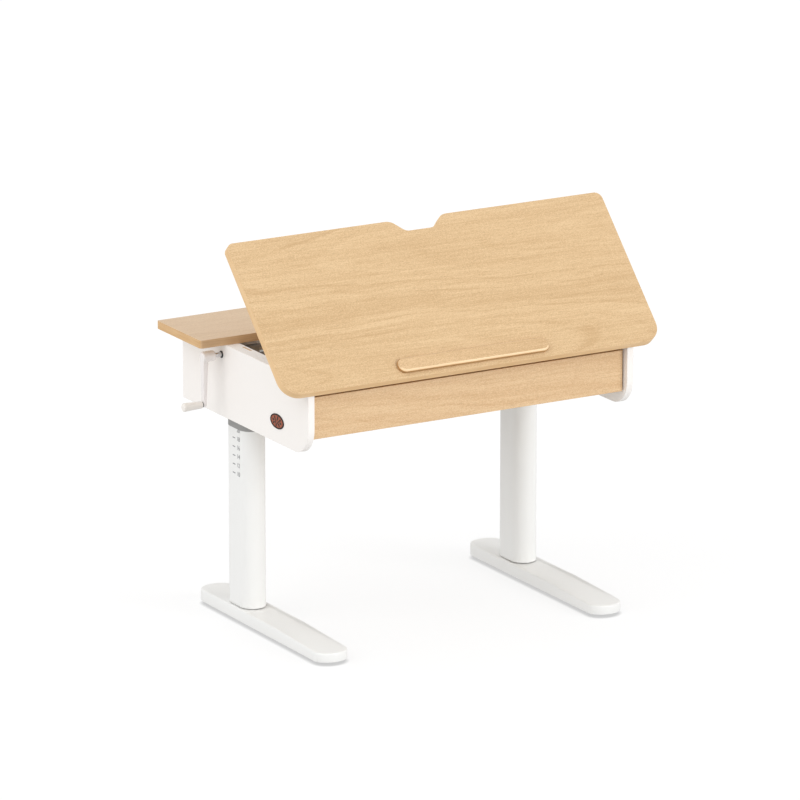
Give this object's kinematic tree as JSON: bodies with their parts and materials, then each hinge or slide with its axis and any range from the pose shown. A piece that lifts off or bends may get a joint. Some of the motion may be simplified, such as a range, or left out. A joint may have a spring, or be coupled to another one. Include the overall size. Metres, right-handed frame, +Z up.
{
  "type": "height adjustable tilting top desk",
  "caption": "Two-column drafting desk with a tilting beech top, fixed rear shelf, full-width drawer and pull-out lifting crank",
  "frame": {"origin": "on the floor, under the middle of the whole outline in X and Y, with the crank pushed in as shown", "axes": "+X to the right along the desk's width, +Y from the user to the rear, +Z up"},
  "size_m": [1.036, 0.6177, 0.9496],
  "materials": {
    "beech_top": "light beech laminate, satin, cathedral grain along the width",
    "beech_shelf": "light beech laminate, satin",
    "beech_front": "light beech laminate, satin, grain along the width",
    "drawer_wood": "pale birch ply, matt",
    "white_panel": "white melamine-faced board, satin",
    "white_powder_coat": "white powder coat, fine texture",
    "black_plastic": "black moulded plastic, matt",
    "grey_plastic": "mid-grey moulded plastic, matt",
    "grey_steel": "grey powder coat, satin",
    "zinc_steel": "bright zinc-plated steel",
    "die_cast": "die-cast alloy, matt",
    "brass_nut": "machined bronze",
    "scale_label": "pale grey label with darker marks",
    "buffer": "tan cork-like buffer",
    "copper_badge": "copper-brown domed badge with a dark rim",
    "crank_chrome": "polished plated steel",
    "crank_white": "white gloss coat",
    "knob_white": "white moulded plastic"
  },
  "bodies": {
    "base": {"left_foot": "white_powder_coat", "right_foot": "white_powder_coat", "levelling_glides": "black_plastic", "foot_bolts": "zinc_steel", "left_base_plate": "grey_steel", "right_base_plate": "grey_steel", "left_outer_tube": "white_powder_coat", "right_outer_tube": "white_powder_coat", "left_collar": "grey_plastic", "right_collar": "grey_plastic", "left_nut_tube": "grey_steel", "right_nut_tube": "grey_steel", "left_screw_nut": "brass_nut", "right_screw_nut": "brass_nut", "height_scale": "scale_label"},
    "lift_frame": {"left_inner_tube": "grey_steel", "right_inner_tube": "grey_steel", "left_glide_shoe": "black_plastic", "right_glide_shoe": "black_plastic", "left_head_bracket": "grey_steel", "right_head_bracket": "grey_steel", "left_gearbox": "die_cast", "right_gearbox": "die_cast", "gearbox_screws": "zinc_steel", "thrust_washers": "zinc_steel", "cross_beam": "grey_steel", "left_side_panel": "white_panel", "right_side_panel": "white_panel", "left_rail": "white_panel", "right_rail": "white_panel", "hinge_rail": "white_panel", "back_panel": "white_panel", "rear_shelf": "beech_shelf", "shelf_stiffener": "grey_steel", "frame_screws": "zinc_steel", "fixed_hinge_leaves": "zinc_steel", "hinge_pins": "zinc_steel", "stay_guides": "black_plastic", "left_drawer_runner": "zinc_steel", "right_drawer_runner": "zinc_steel", "landing_pads": "buffer", "badge": "copper_badge"},
    "top": {"tilting_board": "beech_top", "pencil_stop": "beech_top", "moving_hinge_leaves": "zinc_steel", "left_stay": "zinc_steel", "right_stay": "zinc_steel", "top_screws": "zinc_steel"},
    "drawer": {"drawer_front": "beech_front", "drawer_sides": "drawer_wood", "drawer_back": "drawer_wood", "drawer_bottom": "drawer_wood", "drawer_slides": "zinc_steel"},
    "drive_shaft": {"cross_tube": "zinc_steel"},
    "left_screw": {"left_lead_screw": "zinc_steel"},
    "right_screw": {"right_lead_screw": "zinc_steel"},
    "crank_sleeve": {"crank_socket": "black_plastic"},
    "crank": {"crank_arm": "crank_white", "crank_shaft": "crank_chrome"},
    "knob": {"crank_knob": "knob_white"}
  },
  "joints": [
    {"name": "lift", "type": "slide", "parent": "base", "child": "lift_frame", "axis": [0, 0, 1], "range_m": [-0.126, 0.12]},
    {"name": "drive_shaft_turn", "type": "hinge", "parent": "lift_frame", "child": "drive_shaft", "pos_m": [0.018, 0.119, 0.6475], "axis": [1, 0, 0], "range_deg": [-7560, 7200]},
    {"name": "left_screw_turn", "type": "hinge", "parent": "lift_frame", "child": "left_screw", "pos_m": [-0.35, 0.119, 0.5], "axis": [0, 0, 1], "range_deg": [-7560, 7200]},
    {"name": "right_screw_turn", "type": "hinge", "parent": "lift_frame", "child": "right_screw", "pos_m": [0.386, 0.119, 0.5], "axis": [0, 0, 1], "range_deg": [-7560, 7200]},
    {"name": "tilt", "type": "hinge", "parent": "lift_frame", "child": "top", "pos_m": [0.018, -0.2684, 0.6797], "axis": [1, 0, 0], "range_deg": [-45.9, 4.1]},
    {"name": "drawer_slide", "type": "slide", "parent": "lift_frame", "child": "drawer", "axis": [0, -1, 0], "range_m": [0, 0.23]},
    {"name": "crank_swing", "type": "hinge", "parent": "lift_frame", "child": "crank_sleeve", "pos_m": [-0.398, 0.119, 0.6475], "axis": [1, 0, 0], "range_deg": [-90, 90]},
    {"name": "crank_pull", "type": "slide", "parent": "crank_sleeve", "child": "crank", "axis": [-1, 0, 0], "range_m": [-0.019, 0.045]},
    {"name": "knob_spin", "type": "hinge", "parent": "crank", "child": "knob", "pos_m": [-0.49, 0.119, 0.5335], "axis": [1, 0, 0], "continuous": true}
  ],
  "couplings": [
    {"joint": "drive_shaft_turn", "follows": "lift", "rad_per_m": 1047.2},
    {"joint": "left_screw_turn", "follows": "lift", "rad_per_m": 1047.2},
    {"joint": "right_screw_turn", "follows": "lift", "rad_per_m": 1047.2}
  ]
}
